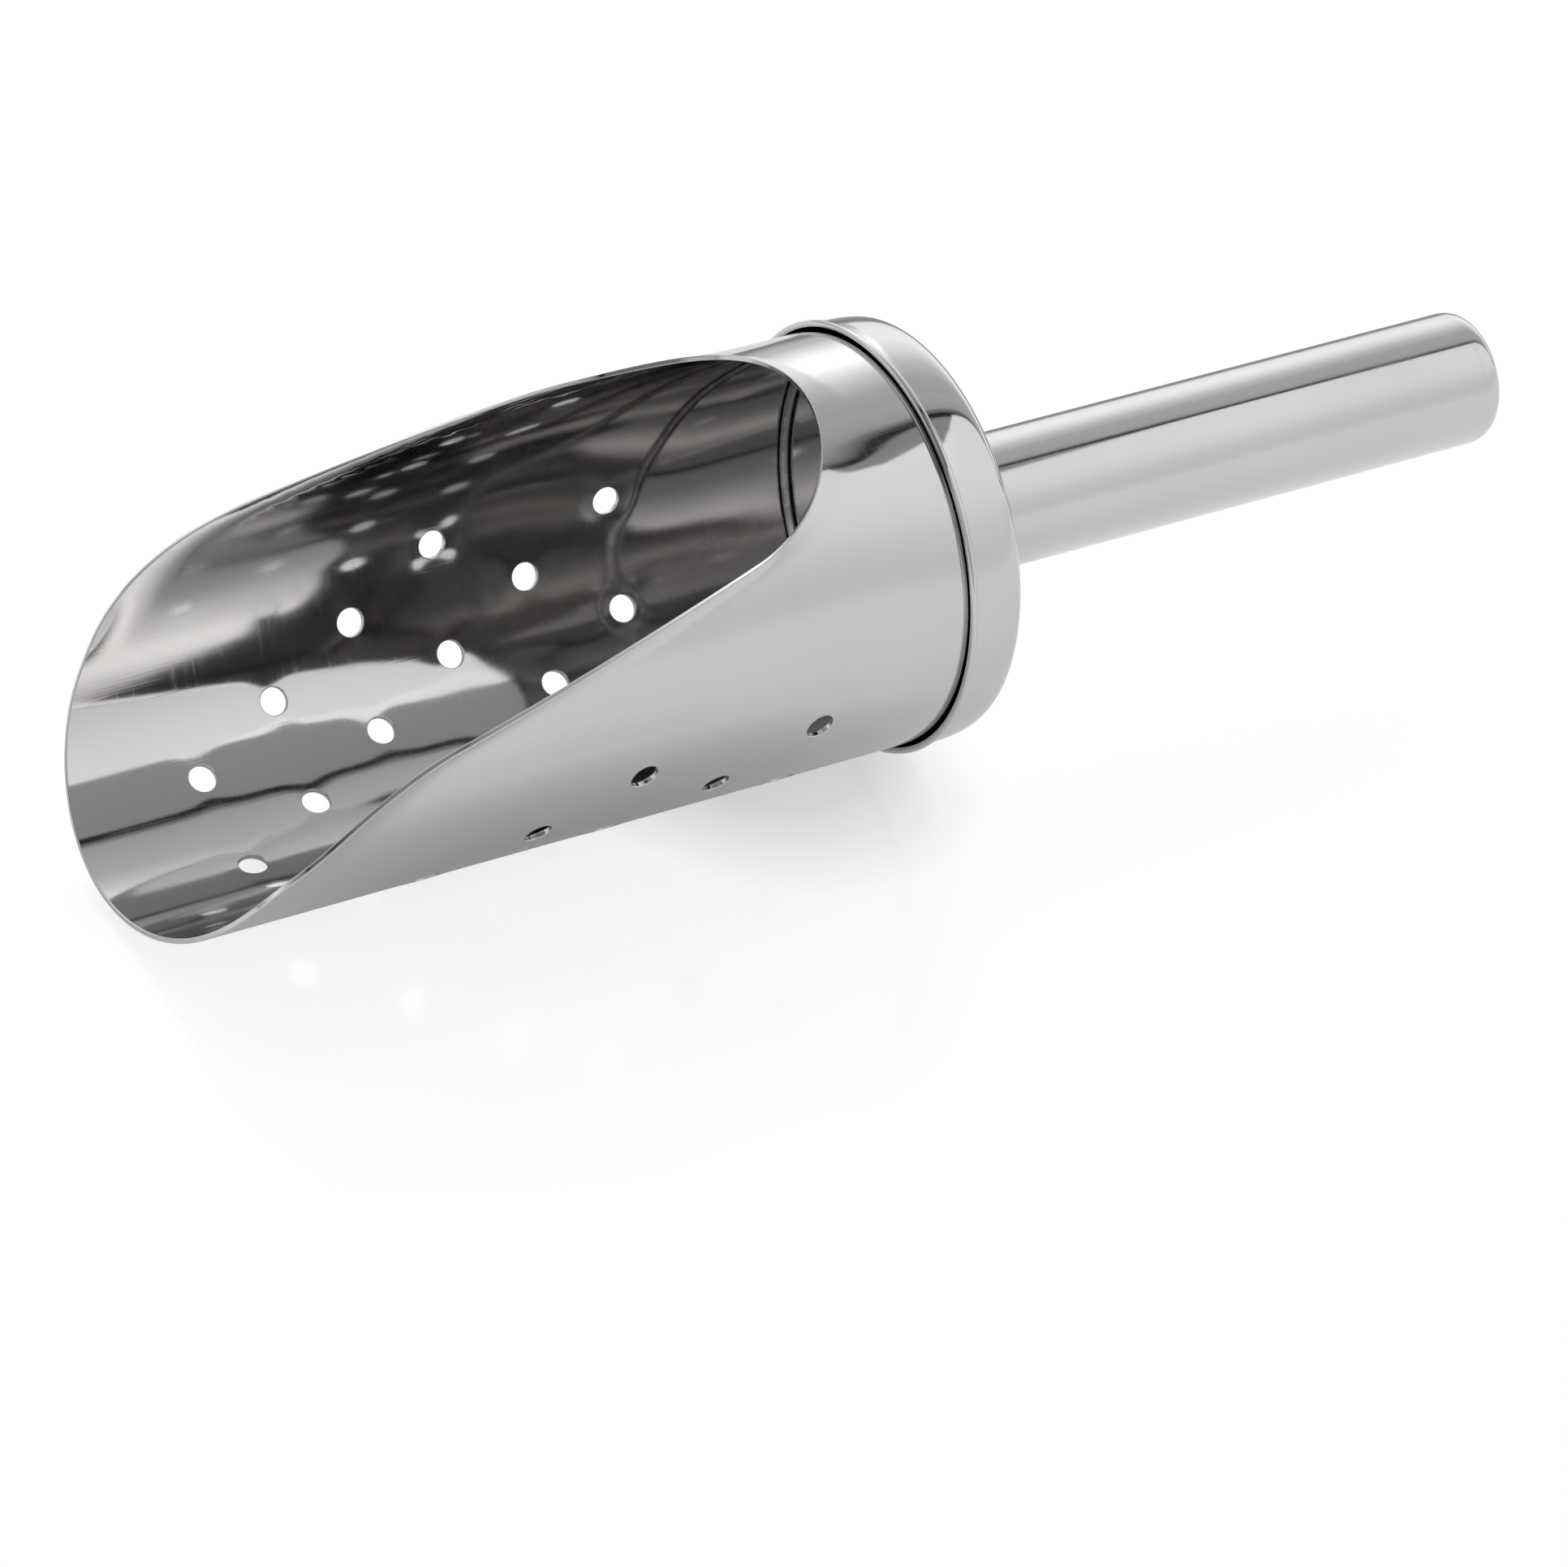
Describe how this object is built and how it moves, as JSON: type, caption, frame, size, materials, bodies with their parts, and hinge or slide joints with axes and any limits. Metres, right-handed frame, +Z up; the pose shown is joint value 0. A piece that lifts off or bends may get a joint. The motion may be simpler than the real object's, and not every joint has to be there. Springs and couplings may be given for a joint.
{
  "type": "ice scoop",
  "caption": "Perforated ice scoop of polished stainless steel: a tube cut to a long rounded tongue, closed by a beaded end cap with a straight tubular handle.",
  "frame": {"origin": "middle of the scoop's bounding box, at its lowest level, so the scoop lies on the plane z = 0 with its axis level", "axes": "+X along the scoop's axis from the tongue towards the handle's end, +Z up out of the mouth, +Y to the left when looking along +X"},
  "size_m": [0.2836, 0.08, 0.0796],
  "materials": {
    "barrel_steel": "mirror polished, with fine polishing scratches",
    "cap_steel": "mirror polished",
    "handle_steel": "mirror polished, faintly drawn along its length",
    "weld_steel": "cleaned weld, satin"
  },
  "bodies": {
    "root": {"scoop_barrel": "barrel_steel", "inner_floor_disc": "cap_steel", "floor_seam_weld": "weld_steel", "end_cap": "cap_steel", "handle_tube": "handle_steel", "handle_end": "handle_steel", "handle_root_weld": "weld_steel"}
  },
  "joints": []
}
